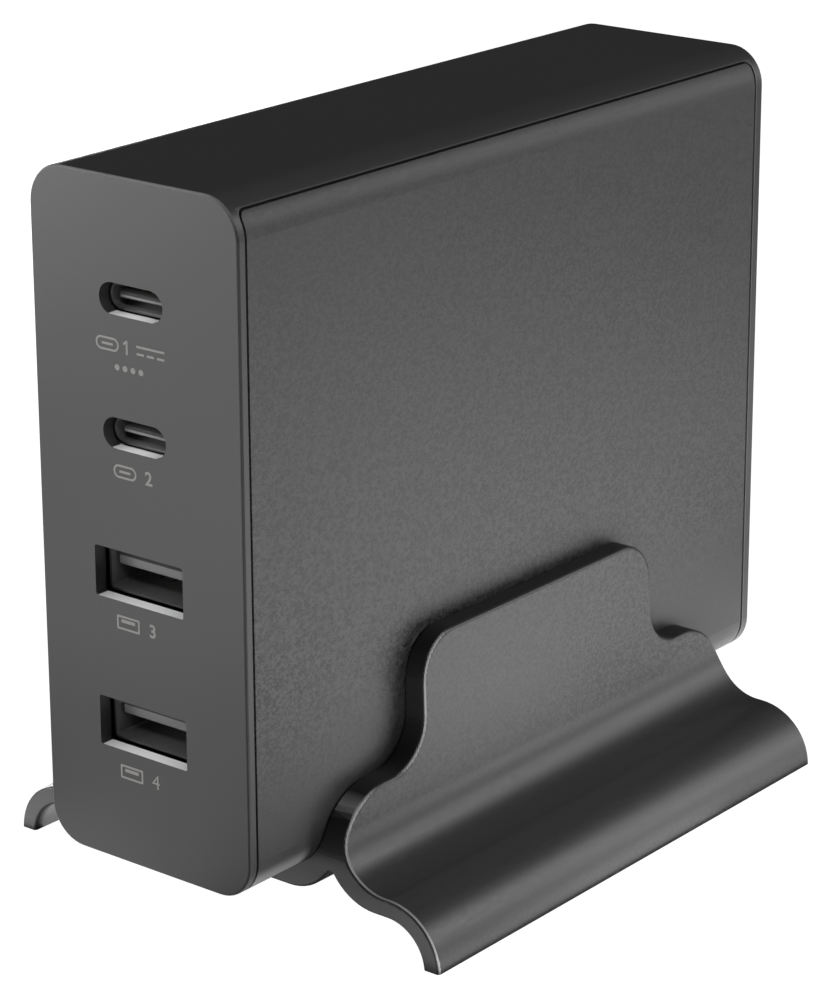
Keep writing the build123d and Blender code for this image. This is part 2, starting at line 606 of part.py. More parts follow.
# ------------------------------------------------------------------ transformer: two core halves glued as one, wound bobbin
tr_y, tr_z, tr_h = -8.6, seat_z + 62.0, 19.0
with BuildPart() as transformer_core:
    with BuildSketch(on_board(tr_y, tr_z).offset(1.5)):
        RectangleRounded(27.0, 20.0, 1.2)
    extrude(amount=tr_h)
    # winding window around the round centre leg
    with BuildSketch(on_board(tr_y, tr_z).offset(1.5 + 3.2)):
        Rectangle(22.0, 22.0)
        Circle(5.6, mode=Mode.SUBTRACT)
    extrude(amount=tr_h - 6.4, mode=Mode.SUBTRACT)
transformer_core.part.label = "transformer_core"
export_step(transformer_core.part, "parts/transformer_core.step")

with BuildPart() as transformer_winding:
    # flanged bobbin filled with tape-wrapped wire
    with BuildSketch(on_board(tr_y, tr_z).offset(1.5 + 3.2)):
        Circle(10.6)
        Circle(5.6, mode=Mode.SUBTRACT)
    extrude(amount=tr_h - 6.4)
    with BuildSketch(on_board(tr_y, tr_z).offset(1.5 + 3.2 + 0.9)):
        Circle(11.0)
        Circle(10.0, mode=Mode.SUBTRACT)
    extrude(amount=tr_h - 6.4 - 1.8, mode=Mode.SUBTRACT)
    # pins at the two open ends
    with BuildSketch(on_board(tr_y, tr_z)):
        with Locations((0, 10.45), (0, -10.45)):
            with GridLocations(2.4, 1, 2, 1):
                Circle(0.35)
    extrude(amount=4.8)
transformer_winding.part.label = "transformer_winding"
export_step(transformer_winding.part, "parts/transformer_winding.step")

# two power switches standing on the board
with BuildPart() as power_switches:
    for y in (-2.0, -12.5):
        with BuildSketch(on_board(y, seat_z + 44.5).offset(2.5)):
            Rectangle(9.0, 4.4)
        extrude(amount=9.0)
        with BuildSketch(on_board(y, seat_z + 44.5)):
            with GridLocations(2.54, 1, 3, 1):
                Rectangle(0.8, 0.5)
        extrude(amount=2.5)
power_switches.part.label = "power_switches"
export_step(power_switches.part, "parts/power_switches.step")

# ------------------------------------------------------------------ low-voltage side components
with BuildPart() as output_capacitors:
    with BuildSketch(on_board(-28.6, seat_z + 41.0).offset(0.5)):
        with Locations((0, -31.0), (0, -22.0), (0, 22.0), (0, 31.0)):
            Circle(4.0)
    extrude(amount=12.0)
    fillet(output_capacitors.edges().group_by(Axis.X)[0], radius=0.4)
    with BuildSketch(on_board(-28.6, seat_z + 41.0)):
        with Locations((-1.75, -31.0), (1.75, -31.0), (-1.75, -22.0), (1.75, -22.0),
                       (-1.75, 22.0), (1.75, 22.0), (-1.75, 31.0), (1.75, 31.0)):
            Circle(0.3)
    extrude(amount=0.5)
output_capacitors.part.label = "output_capacitors"
export_step(output_capacitors.part, "parts/output_capacitors.step")

with BuildPart() as buck_inductors:
    with BuildSketch(on_board(-16.5, seat_z + 22.8)):
        with GridLocations(11.2, 11.6, 1, 3):
            RectangleRounded(10.2, 10.2, 1.0)
    extrude(amount=5.6)
    chamfer(buck_inductors.faces().group_by(Axis.X)[0].edges(), length=0.5)
buck_inductors.part.label = "buck_inductors"
export_step(buck_inductors.part, "parts/buck_inductors.step")

with BuildPart() as control_chips:
    with BuildSketch(on_board(-28.6, seat_z + 41.0)):
        with Locations((2.6, -12.0), (2.6, -5.0), (2.6, 4.0), (2.6, 11.0)):
            RectangleRounded(5.0, 5.0, 0.2)
    extrude(amount=0.9)
    with BuildSketch(on_board(2.0, seat_z + 75.4)):
        with Locations((0, 0), (-9, 0)):
            RectangleRounded(6.0, 4.4, 0.2)
    extrude(amount=1.4)
control_chips.part.label = "control_chips"
export_step(control_chips.part, "parts/control_chips.step")

# ------------------------------------------------------------------ heat path and insulation
with BuildPart() as heat_spreader:
    with BuildSketch(Plane(origin=(wall - body_w / 2, 0, 0), x_dir=(0, 1, 0), z_dir=(1, 0, 0))):
        with Locations((6.0, seat_z + 41.0)):
            RectangleRounded(72.0, 68.0, 2.0)
    extrude(amount=1.0)
heat_spreader.part.label = "heat_spreader"
export_step(heat_spreader.part, "parts/heat_spreader.step")

core_top_x = main_board_x - 1.5 - tr_h
with BuildPart() as thermal_pad:
    with BuildSketch(Plane(origin=(wall - body_w / 2 + 1.0, 0, 0), x_dir=(0, 1, 0), z_dir=(1, 0, 0))):
        with Locations((tr_y, tr_z)):
            RectangleRounded(24.0, 18.0, 1.0)
    extrude(amount=core_top_x + body_w / 2 - wall - 1.0)
thermal_pad.part.label = "thermal_pad"
export_step(thermal_pad.part, "parts/thermal_pad.step")

with BuildPart() as insulating_sheet:
    with BuildSketch(Plane(origin=(body_w / 2 - wall - 0.3, 0, 0), x_dir=(0, 1, 0), z_dir=(1, 0, 0))):
        with Locations(((main_y0 + main_y1) / 2 - 0.3, seat_z + 41.0)):
            RectangleRounded(77.0, 68.0, 1.5)
    extrude(amount=0.3)
insulating_sheet.part.label = "insulating_sheet"
export_step(insulating_sheet.part, "parts/insulating_sheet.step")
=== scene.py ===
import json
import math
import bpy
import bmesh
from mathutils import Matrix, Vector


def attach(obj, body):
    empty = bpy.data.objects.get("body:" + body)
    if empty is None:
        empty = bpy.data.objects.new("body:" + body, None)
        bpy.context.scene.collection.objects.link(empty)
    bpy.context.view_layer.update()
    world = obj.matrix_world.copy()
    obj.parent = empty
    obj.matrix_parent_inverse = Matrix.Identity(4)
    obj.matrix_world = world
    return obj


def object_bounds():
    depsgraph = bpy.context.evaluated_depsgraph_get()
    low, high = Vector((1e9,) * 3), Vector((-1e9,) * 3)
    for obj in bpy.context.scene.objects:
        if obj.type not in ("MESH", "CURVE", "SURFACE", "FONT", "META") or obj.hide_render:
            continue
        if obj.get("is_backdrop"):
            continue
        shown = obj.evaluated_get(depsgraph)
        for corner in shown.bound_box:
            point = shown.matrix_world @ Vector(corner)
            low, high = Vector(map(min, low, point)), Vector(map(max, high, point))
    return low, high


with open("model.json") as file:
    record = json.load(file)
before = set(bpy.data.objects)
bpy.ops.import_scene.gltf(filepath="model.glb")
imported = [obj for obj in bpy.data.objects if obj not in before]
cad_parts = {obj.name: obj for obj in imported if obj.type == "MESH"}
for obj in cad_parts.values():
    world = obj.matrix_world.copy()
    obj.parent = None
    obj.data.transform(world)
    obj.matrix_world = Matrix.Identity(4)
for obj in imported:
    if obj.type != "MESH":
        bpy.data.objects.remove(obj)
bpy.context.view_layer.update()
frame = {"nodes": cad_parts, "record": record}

nodes = frame["nodes"]
scene = bpy.context.scene
MM = 0.001

# ------------------------------------------------------------------ places repeated from the part (millimetres)
FRONT_Y = -50.35
SEAT_Z = 7.92
PORT_X = -0.48
SEAM_ANGLE, SEAM_CX, SEAM_CZ = 47.5, 10.75, 85.17      # long groove: angle and centre of the top round-over
SEAM_Y0, SEAM_Y1 = -49.245, 48.855                     # edges of the front and rear strips at the groove
USB_C_Z = (SEAT_Z + 68.0, SEAT_Z + 52.4)               # middles of the ports
USB_A_Z = (SEAT_Z + 35.4, SEAT_Z + 17.05)
FRAME, SHELL, STAND = 0.070, 0.070, 0.080              # how much light the three mouldings return


# ------------------------------------------------------------------ node helpers
class Mat:
    """A small builder for procedural materials in object space, in millimetres."""

    def __init__(self, name):
        self.m = bpy.data.materials.new(name)
        self.m.use_nodes = True
        self.t = self.m.node_tree
        self.t.nodes.clear()
        self.out = self.t.nodes.new("ShaderNodeOutputMaterial")
        self.b = self.t.nodes.new("ShaderNodeBsdfPrincipled")
        self.t.links.new(self.b.outputs[0], self.out.inputs[0])
        coord = self.t.nodes.new("ShaderNodeTexCoord")
        scale = self.t.nodes.new("ShaderNodeVectorMath")
        scale.operation = "SCALE"
        scale.inputs["Scale"].default_value = 1000.0
        self.t.links.new(coord.outputs["Object"], scale.inputs[0])
        self.mm = scale.outputs[0]
        self._xyz = None

    def link(self, a, b):
        self.t.links.new(a, b)

    def put(self, value, socket):
        if hasattr(value, "is_output"):
            self.link(value, socket)
        else:
            socket.default_value = value

    def xyz(self):
        if self._xyz is None:
            n = self.t.nodes.new("ShaderNodeSeparateXYZ")
            self.link(self.mm, n.inputs[0])
            self._xyz = n.outputs
        return self._xyz

    def noise(self, scale, detail=2.0, rough=0.5, vec=None, lac=2.0):
        n = self.t.nodes.new("ShaderNodeTexNoise")
        n.inputs["Scale"].default_value = scale
        n.inputs["Detail"].default_value = detail
        n.inputs["Roughness"].default_value = rough
        n.inputs["Lacunarity"].default_value = lac
        self.link(vec or self.mm, n.inputs["Vector"])
        return n.outputs["Fac"]

    def voronoi(self, scale, feature="F1", out="Distance", vec=None):
        n = self.t.nodes.new("ShaderNodeTexVoronoi")
        n.feature = feature
        n.inputs["Scale"].default_value = scale
        self.link(vec or self.mm, n.inputs["Vector"])
        return n.outputs[out]

    def math(self, op, a, b=0.0, clamp=False):
        n = self.t.nodes.new("ShaderNodeMath")
        n.operation = op
        n.use_clamp = clamp
        self.put(a, n.inputs[0])
        self.put(b, n.inputs[1])
        return n.outputs[0]

    def ramp(self, fac, lo, hi, a, b, smooth=False):
        n = self.t.nodes.new("ShaderNodeMapRange")
        n.interpolation_type = "SMOOTHSTEP" if smooth else "LINEAR"
        self.put(fac, n.inputs["Value"])
        n.inputs["From Min"].default_value = lo
        n.inputs["From Max"].default_value = hi
        n.inputs["To Min"].default_value = a
        n.inputs["To Max"].default_value = b
        return n.outputs["Result"]

    def mix(self, fac, a, b, mode="MIX"):
        n = self.t.nodes.new("ShaderNodeMix")
        n.data_type = "RGBA"
        n.blend_type = mode
        self.put(fac, n.inputs[0])
        self.put(a if hasattr(a, "is_output") else (*a, 1.0), n.inputs[6])
        self.put(b if hasattr(b, "is_output") else (*b, 1.0), n.inputs[7])
        return n.outputs[2]

    def bump(self, height, strength, distance, normal=None):
        n = self.t.nodes.new("ShaderNodeBump")
        self.put(strength, n.inputs["Strength"])
        n.inputs["Distance"].default_value = distance
        self.link(height, n.inputs["Height"])
        if normal is not None:
            self.link(normal, n.inputs["Normal"])
        return n.outputs[0]

    def normal(self):
        g = self.t.nodes.new("ShaderNodeNewGeometry")
        s = self.t.nodes.new("ShaderNodeSeparateXYZ")
        self.link(g.outputs["True Normal"], s.inputs[0])
        return s.outputs

    def all_of(self, *masks):
        out = masks[0]
        for k in masks[1:]:
            out = self.math("MULTIPLY", out, k)
        return out

    def set(self, **kw):
        for k, v in kw.items():
            s = self.b.inputs[k.replace("_", " ")]
            if hasattr(v, "is_output"):
                self.link(v, s)
            elif isinstance(v, tuple) and len(v) == 3 and s.type == "RGBA":
                s.default_value = (*v, 1.0)
            else:
                s.default_value = v
        return self


def grey(v):
    return (v, v, v)


def grained(name, base, grain, coarse, rough, bump, spread, depth, painted_edges, shade_mask=None):
    """Moulded plastic with a fine spark-eroded grain: the colour speckles with the grain and drifts slowly over the
    part.
    depth says how deep the grain is, from 0 to 1; the edge masks give painted highlights and painted shade with how
    light and how rough they are, and the last mask gives an area darkened as painted shade."""
    m = Mat(name)
    along = m.t.nodes.new("ShaderNodeVectorMath")          # the grain runs a little longer along the body
    along.operation = "MULTIPLY"
    along.inputs[1].default_value = (1.0, 0.75, 1.0)
    m.link(m.mm, along.inputs[0])
    fine = m.noise(grain, 3.0, 0.62, along.outputs[0])
    speck = m.noise(grain * 2.3, 1.0, 0.5, along.outputs[0])
    slow = m.noise(coarse, 2.0, 0.5)
    f = m.math("ADD", m.math("MULTIPLY", m.math("SUBTRACT", fine, 0.5), 0.75), m.math("MULTIPLY", m.math("SUBTRACT", speck, 0.5), 0.45))
    f = m.math("ADD", f, m.math("MULTIPLY", m.math("SUBTRACT", slow, 0.5), 0.04))
    deep = depth(m)
    t = m.math("ADD", 0.5, m.math("MULTIPLY", deep, m.ramp(f, -0.105, 0.105, -0.5, 0.5)))
    colour = m.mix(t, grey(base * (1 - spread)), grey(base * (1 + spread)))
    # painted shade: the masked area is darkened
    if shade_mask is not None:
        colour = m.mix(shade_mask(m), colour, grey(0.67), "MULTIPLY")
    roughness = m.ramp(fine, 0.3, 0.7, rough - 0.05, rough + 0.07)
    # painted highlights and painted shade along edges
    for mask, light, more in painted_edges(m):
        colour = m.mix(mask, colour, grey(base * light))
        if more:
            roughness = m.math("ADD", roughness, m.math("MULTIPLY", mask, more))
    height = m.math("ADD", fine, m.math("MULTIPLY", speck, 0.6))
    m.set(Base_Color=colour, Roughness=roughness, IOR=1.48,
          Normal=m.bump(height, m.math("MULTIPLY", deep, bump), 0.00005))
    return m.m


# ------------------------------------------------------------------ finishes of the mouldings
def make_frame_plastic():
    """Smooth satin moulding. The lower edges of the port openings are painted pale as light falling on them, the rest
    of their walls is painted dark as shade, and a hairline along the parting groove is a painted highlight, a little
    lighter."""
    m = Mat("frame_plastic_finish")
    x, y, z = m.xyz()
    nx, ny, nz = m.normal()
    fine = m.noise(9.0, 2.0, 0.5)
    slow = m.noise(0.05, 2.0, 0.5)
    f = m.math("ADD", m.math("MULTIPLY", m.math("SUBTRACT", fine, 0.5), 0.10), m.math("MULTIPLY", m.math("SUBTRACT", slow, 0.5), 0.12))
    colour = m.mix(m.ramp(f, -0.1, 0.1, 0.0, 1.0), grey(FRAME * 0.93), grey(FRAME * 1.07))
    # painted highlight: a lighter hairline beside the parting groove, on the top and on the rear strip
    sa = math.radians(SEAM_ANGLE)
    side = m.math("SUBTRACT", m.math("MULTIPLY", m.math("SUBTRACT", m.math("ABSOLUTE", x), SEAM_CX), math.cos(sa)),
                  m.math("MULTIPLY", m.math("SUBTRACT", z, SEAM_CZ), math.sin(sa)))
    line = m.all_of(m.ramp(side, -0.36, -0.26, 0.0, 1.0), m.ramp(z, SEAM_CZ, SEAM_CZ + 0.1, 0.0, 1.0),
                    m.ramp(y, SEAM_Y0, SEAM_Y0 + 0.3, 0.0, 1.0), m.ramp(y, SEAM_Y1 - 0.3, SEAM_Y1, 1.0, 0.0))
    rear = m.all_of(m.ramp(y, SEAM_Y1 + 0.12, SEAM_Y1 + 0.22, 1.0, 0.0), m.ramp(y, SEAM_Y1 - 0.1, SEAM_Y1 - 0.02, 0.0, 1.0),
                    m.ramp(side, -0.3, -0.1, 0.0, 1.0))
    colour = m.mix(m.math("MULTIPLY", m.math("MAXIMUM", line, rear), 0.9), colour, grey(FRAME * 2.2))
    # painted highlight on the rounding along the upper edge of the port face
    turn = m.math("ABSOLUTE", ny)
    rim = m.all_of(m.ramp(turn, 0.15, 0.35, 0.0, 1.0), m.ramp(turn, 0.93, 0.985, 1.0, 0.0), m.ramp(nz, 0.12, 0.4, 0.0, 1.0),
                   m.ramp(y, FRONT_Y + 0.3, FRONT_Y + 0.34, 1.0, 0.0))
    colour = m.mix(rim, colour, grey(FRAME * 5.2))
    # walls of the openings, painted dark as shade, darkest in the two wide openings
    inside = m.all_of(m.ramp(y, FRONT_Y + 0.02, FRONT_Y + 0.08, 0.0, 1.0), m.ramp(y, -48.5, -48.3, 1.0, 0.0),
                      m.ramp(m.math("ABSOLUTE", m.math("SUBTRACT", x, PORT_X)), 7.0, 7.2, 1.0, 0.0),
                      m.ramp(z, 81.0, 81.5, 1.0, 0.0), m.ramp(m.math("ABSOLUTE", ny), 0.5, 0.7, 1.0, 0.0))
    off = m.math("SUBTRACT", x, PORT_X)
    wide = m.ramp(z, SEAT_Z + 44.0, SEAT_Z + 44.1, 1.0, 0.0)
    colour = m.mix(inside, colour, m.mix(wide, grey(0.030), grey(0.012)))
    # painted light: the upward lower edges of the openings are pale, as light falling on them
    painted_lit_sill = m.all_of(inside, m.ramp(nz, 0.80, 0.86, 0.0, 1.0),
                    m.math("MAXIMUM", m.all_of(wide, m.ramp(off, -6.48, -6.40, 0.0, 1.0)),
                           m.all_of(m.ramp(off, -3.5, -3.38, 0.0, 1.0), m.ramp(off, 3.2, 3.28, 1.0, 0.0))))
    colour = m.mix(painted_lit_sill, colour, (0.80, 0.80, 0.80))
    m.set(Base_Color=colour, Roughness=m.ramp(fine, 0.3, 0.7, 0.40, 0.46), IOR=1.48, Normal=m.bump(fine, 0.12, 0.00002))
    return m.m


def make_port_metal():
    """Nickel-plated shell, brushed along the depth: the faces turned to the front are painted darker and the inner
    faces a little lighter, as painted shade and light by which way they face.
    """
    m = Mat("port_metal_finish")
    nx, ny, nz = m.normal()
    stretch = m.t.nodes.new("ShaderNodeVectorMath")
    stretch.operation = "MULTIPLY"
    stretch.inputs[1].default_value = (6.0, 0.6, 6.0)
    m.link(m.mm, stretch.inputs[0])
    brushed = m.noise(1.0, 3.0, 0.6, stretch.outputs[0])
    colour = m.mix(m.ramp(brushed, 0.3, 0.7, 0.0, 1.0), grey(0.07), grey(0.10))
    # painted light and shade: the faces turned to the front are darker than the inner faces
    colour = m.mix(m.ramp(ny, -0.9, -0.5, 1.0, 0.0), colour, grey(0.04))
    m.set(Base_Color=colour, Metallic=0.35, Roughness=m.ramp(brushed, 0.3, 0.7, 0.42, 0.52), Normal=m.bump(brushed, 0.1, 0.00002))
    return m.m


def make_port_plastic():
    """Moulded insulator. The upper half of the thin tongues and the bevel on the thick ones are rougher and painted
    dark as shade.
    """
    m = Mat("port_plastic_finish")
    x, y, z = m.xyz()
    n = m.noise(6.0, 3.0, 0.55)
    wide = m.ramp(z, SEAT_Z + 44.0, SEAT_Z + 44.1, 1.0, 0.0)
    colour = m.mix(m.ramp(n, 0.3, 0.7, 0.0, 1.0), m.mix(wide, grey(0.12), grey(0.075)), m.mix(wide, grey(0.14), grey(0.09)))
    shaded_rough_top = None
    for zc, lo, hi in [(z0, 0.0, 1.0) for z0 in USB_C_Z] + [(z0, 1.2, 2.2) for z0 in USB_A_Z]:
        k = m.all_of(m.ramp(z, zc + lo, zc + lo + 0.06, 0.0, 1.0), m.ramp(z, zc + hi, zc + hi + 0.1, 1.0, 0.0))
        shaded_rough_top = k if shaded_rough_top is None else m.math("MAXIMUM", shaded_rough_top, k)
    # painted shade: the upper half of the thin tongues and the bevel of the thick ones are darkened
    colour = m.mix(shaded_rough_top, colour, grey(0.022))
    rough = m.math("ADD", m.ramp(n, 0.3, 0.7, 0.38, 0.45), m.math("MULTIPLY", shaded_rough_top, 0.45))
    m.set(Base_Color=colour, Roughness=rough, Normal=m.bump(n, 0.1, 0.00003))
    return m.m


frame_finish = make_frame_plastic()


def shell_depth(m):
    """The grain gets shallower towards the top, the rear and the left side, and on the bottom round."""
    x, y, z = m.xyz()
    return m.all_of(m.ramp(z, 28.0, 88.0, 1.0, 0.2), m.ramp(z, 17.0, 32.0, 0.12, 1.0), m.ramp(y, -45.0, 45.0, 1.0, 0.42),
                    m.ramp(x, -4.0, 4.0, 0.45, 1.0))


def shell_painted_light(m):
    """The bottom round carries a painted highlight, lighter at the front, and a painted shadow, darker and rougher,
    where the body sits in the stand.
    """
    x, y, z = m.xyz()
    light = m.all_of(m.ramp(z, 8.5, 9.4, 0.0, 1.0, True), m.ramp(z, 9.8, 11.8, 1.0, 0.0, True), m.ramp(y, -38.0, -30.0, 1.0, 0.0))
    # painted contact shadow where the body sits in the stand
    seat_shadow = m.all_of(m.ramp(z, 11.0, 15.0, 1.0, 0.0), m.ramp(y, -40.9, -39.4, 0.0, 1.0), m.ramp(y, 37.0, 38.0, 1.0, 0.0))
    return (light, 5.0, 0.0), (seat_shadow, 0.2, 0.2)


def stand_depth(m):
    """The grain is on the upright faces; the end faces, the bends and the feet are nearly smooth."""
    x, y, z = m.xyz()
    nx, ny, nz = m.normal()
    return m.all_of(m.ramp(nz, 0.0, 0.38, 1.0, 0.22), m.ramp(m.math("ABSOLUTE", ny), 0.6, 0.9, 1.0, 0.15), m.ramp(x, -4.0, 4.0, 0.5, 1.0),
                    m.ramp(z, 11.0, 17.0, 0.35, 1.0))


def stand_painted_light(m):
    """The front rim carries a painted highlight where it turns over to the outer faces, a painted dark line just before
    it, and painted shade along its top and underneath.
    """
    x, y, z = m.xyz()
    nx, ny, nz = m.normal()
    turn = m.math("MULTIPLY", ny, -1.0)
    outer = m.all_of(m.ramp(nz, -0.12, 0.0, 0.0, 1.0),
                     m.math("MAXIMUM", m.ramp(m.math("ABSOLUTE", nx), 0.4, 0.6, 0.0, 1.0), m.ramp(z, 15.5, 16.5, 1.0, 0.0)))
    light = m.all_of(outer, m.ramp(turn, 0.12, 0.26, 0.0, 1.0), m.ramp(turn, 0.62, 0.74, 1.0, 0.0))
    shade_line = m.all_of(m.ramp(nz, -0.12, 0.0, 0.0, 1.0), m.ramp(turn, 0.74, 0.82, 0.0, 1.0), m.ramp(turn, 0.96, 0.985, 1.0, 0.0),
                    m.math("MAXIMUM", m.ramp(m.math("ABSOLUTE", nx), 0.15, 0.30, 0.0, 1.0), m.ramp(z, 15.5, 16.5, 1.0, 0.0)))
    edge = m.all_of(m.ramp(turn, 0.20, 0.35, 0.0, 1.0), m.ramp(nz, -0.25, -0.10, 1.0, 0.0))
    behind = m.all_of(m.ramp(m.math("MULTIPLY", x, nx), -6.0, -2.0, 1.0, 0.0), m.ramp(y, -37.7, -37.0, 1.0, 0.0), m.ramp(z, 13.0, 14.0, 1.0, 0.0))
    under = m.all_of(m.math("MAXIMUM", edge, behind), m.ramp(turn, 0.95, 0.985, 1.0, 0.0))
    wall_top_shade = m.all_of(m.ramp(m.math("ABSOLUTE", nx), 0.15, 0.30, 1.0, 0.0), m.ramp(nz, 0.08, 0.20, 0.0, 1.0), m.ramp(z, 8.0, 9.5, 0.0, 1.0))
    # painted dark line, painted shade on the wall tops, painted highlight on the rim, painted shade underneath
    return (shade_line, 0.4, 0.0), (wall_top_shade, 0.45, 0.4), (light, 9.0, 0.0), (under, 0.15, 0.2)


shell_finish = grained("shell_plastic_finish", SHELL, 2.1, 0.04, 0.46, 0.11, 0.92, shell_depth, shell_painted_light)
# the stand's upper part, the tab, is darkened as painted shade
stand_finish = grained("stand_plastic_finish", STAND, 2.1, 0.05, 0.38, 0.12, 0.72, stand_depth, stand_painted_light,
                       lambda m: m.ramp(m.xyz()[2], 11.0, 18.0, 0.0, 1.0))


def plain(name, a, b, scale, rough=0.5, metallic=0.0, bump=0.1, detail=3.0):
    m = Mat(name)
    n = m.noise(scale, detail, 0.55)
    m.set(Base_Color=m.mix(m.ramp(n, 0.3, 0.7, 0.0, 1.0), a, b), Metallic=metallic,
          Roughness=m.ramp(n, 0.3, 0.7, rough - 0.05, rough + 0.05), Normal=m.bump(n, bump, 0.00003))
    return m.m


finishes = {
    "frame_plastic": frame_finish,
    "shell_plastic": shell_finish,
    "stand_plastic": stand_finish,
    "port_metal": make_port_metal(),
    "port_plastic": make_port_plastic(),
    "contact_metal": plain("contact_metal_finish", (0.50, 0.40, 0.22), (0.60, 0.49, 0.28), 5.0, 0.3, 1.0, 0.05),
    "circuit_board": plain("circuit_board_finish", (0.012, 0.10, 0.045), (0.02, 0.14, 0.06), 1.4, 0.35),
    "plated_pin": plain("plated_pin_finish", (0.62, 0.61, 0.59), (0.74, 0.73, 0.71), 3.0, 0.28, 1.0, 0.05),
    "inlet_plastic": plain("inlet_plastic_finish", grey(0.022), grey(0.03), 4.0, 0.45),
    "lead_jacket": plain("lead_jacket_finish", (0.16, 0.06, 0.025), (0.2, 0.08, 0.03), 4.0, 0.4),
    "fuse_body": plain("fuse_body_finish", (0.2, 0.13, 0.07), (0.26, 0.17, 0.09), 3.0, 0.4),
    "ferrite": plain("ferrite_finish", grey(0.035), grey(0.055), 5.0, 0.55, 0.0, 0.3),
    "copper_wire": plain("copper_wire_finish", (0.55, 0.2, 0.07), (0.7, 0.3, 0.11), 3.0, 0.3, 1.0),
    "winding_tape": plain("winding_tape_finish", (0.62, 0.42, 0.03), (0.7, 0.5, 0.05), 1.5, 0.3),
    "film_capacitor": plain("film_capacitor_finish", (0.55, 0.36, 0.03), (0.62, 0.42, 0.04), 2.0, 0.4),
    "disc_capacitor": plain("disc_capacitor_finish", (0.02, 0.09, 0.3), (0.03, 0.12, 0.36), 2.0, 0.25),
    "capacitor_can": plain("capacitor_can_finish", (0.012, 0.014, 0.018), (0.02, 0.022, 0.028), 2.0, 0.25),
    "moulded_epoxy": plain("moulded_epoxy_finish", grey(0.014), grey(0.022), 5.0, 0.55),
    "pressed_iron": plain("pressed_iron_finish", grey(0.07), grey(0.11), 4.0, 0.6, 0.0, 0.3),
    "heat_spreader": plain("heat_spreader_finish", (0.68, 0.69, 0.7), (0.78, 0.79, 0.8), 1.0, 0.32, 1.0),
    "thermal_pad": plain("thermal_pad_finish", (0.2, 0.28, 0.4), (0.25, 0.33, 0.45), 3.0, 0.7),
    "insulating_sheet": plain("insulating_sheet_finish", (0.7, 0.66, 0.55), (0.78, 0.74, 0.64), 2.0, 0.7),
}
slot_of = {s["node"]: s["material_slot"] for s in frame["record"]["subparts"]}
for name, o in nodes.items():
    o.data.materials.clear()
    o.data.materials.append(finishes[slot_of[name]])

# ------------------------------------------------------------------ printed marks beside the ports
FACE_Y = FRONT_Y - 0.012


def ink_finish():
    m = Mat("print_finish")
    n = m.noise(12.0, 2.0, 0.6)
    m.set(Base_Color=m.mix(m.ramp(n, 0.3, 0.7, 0.0, 1.0), (0.36, 0.348, 0.333), (0.42, 0.408, 0.39)),
          Roughness=m.ramp(n, 0.3, 0.7, 0.5, 0.6), Normal=m.bump(n, 0.1, 0.00001))
    return m.m


ink = ink_finish()


def slot_points(w, h, r, n=8):
    pts = []
    for cx, cz, a0 in ((w / 2 - r, h / 2 - r, 0), (-w / 2 + r, h / 2 - r, 90), (-w / 2 + r, -h / 2 + r, 180), (w / 2 - r, -h / 2 + r, 270)):
        for i in range(n + 1):
            a = math.radians(a0 + 90.0 * i / n)
            pts.append((cx + r * math.cos(a), cz + r * math.sin(a)))
    return pts


def prism(bm, outline, x0, z0, hole=None):
    """A thin closed plate of ink with the outline, or a frame between the outline and a hole with as many points."""
    y0, y1 = FACE_Y * MM, (FRONT_Y + 0.03) * MM
    n = len(outline)

    def ring(pts, y):
        return [bm.verts.new(((x0 + px) * MM, y, (z0 + pz) * MM)) for px, pz in pts]

    of, ob = ring(outline, y0), ring(outline, y1)
    for i in range(n):
        j = (i + 1) % n
        bm.faces.new((of[i], of[j], ob[j], ob[i]))
    if hole is None:
        bm.faces.new(of)
        bm.faces.new(list(reversed(ob)))
        return
    hf, hb = ring(hole, y0), ring(hole, y1)
    for i in range(n):
        j = (i + 1) % n
        bm.faces.new((hf[j], hf[i], hb[i], hb[j]))
        bm.faces.new((of[j], of[i], hf[i], hf[j]))
        bm.faces.new((ob[i], ob[j], hb[j], hb[i]))


def digit(bm, char, x0, z0, height, bold=0.022):
    """A plain figure in the built-in font, centred at a place on the port face."""
    curve = bpy.data.curves.new("figure", "FONT")
    curve.body = char
    curve.resolution_u = 6
    curve.offset = bold
    curve.extrude = 0.5
    o = bpy.data.objects.new("figure", curve)
    scene.collection.objects.link(o)
    bpy.context.view_layer.update()
    mesh = bpy.data.meshes.new_from_object(o.evaluated_get(bpy.context.evaluated_depsgraph_get()))
    bpy.data.objects.remove(o)
    bpy.data.curves.remove(curve)
    xs = [v.co.x for v in mesh.vertices]
    ys = [v.co.y for v in mesh.vertices]
    k = height / (max(ys) - min(ys))
    mx, my = (max(xs) + min(xs)) / 2, (max(ys) + min(ys)) / 2
    y0, y1 = FACE_Y * MM, (FRONT_Y + 0.03) * MM
    for v in mesh.vertices:
        v.co = Vector(((x0 + (v.co.x - mx) * k) * MM, y0 if v.co.z > 0 else y1, (z0 + (v.co.y - my) * k) * MM))
    bm.from_mesh(mesh)
    bpy.data.meshes.remove(mesh)


def mark(name, build):
    bm = bmesh.new()
    build(bm)
    bmesh.ops.remove_doubles(bm, verts=bm.verts, dist=1e-8)
    bmesh.ops.recalc_face_normals(bm, faces=bm.faces)
    mesh = bpy.data.meshes.new(name)
    bm.to_mesh(mesh)
    bm.free()
    mesh.materials.append(ink)
    o = bpy.data.objects.new(name, mesh)
    scene.collection.objects.link(o)
    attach(o, "root")
    return o


def bar(bm, x0, z0, w, h):
    prism(bm, [(w / 2, h / 2), (-w / 2, h / 2), (-w / 2, -h / 2), (w / 2, -h / 2)], x0, z0)


def direct_current(bm, x0, z0, w):
    # a long line over three short ones
    bar(bm, x0, z0 + 0.42, w, 0.27)
    for i in (-1, 0, 1):
        bar(bm, x0 + i * w * 0.36, z0 - 0.42, w * 0.26, 0.27)


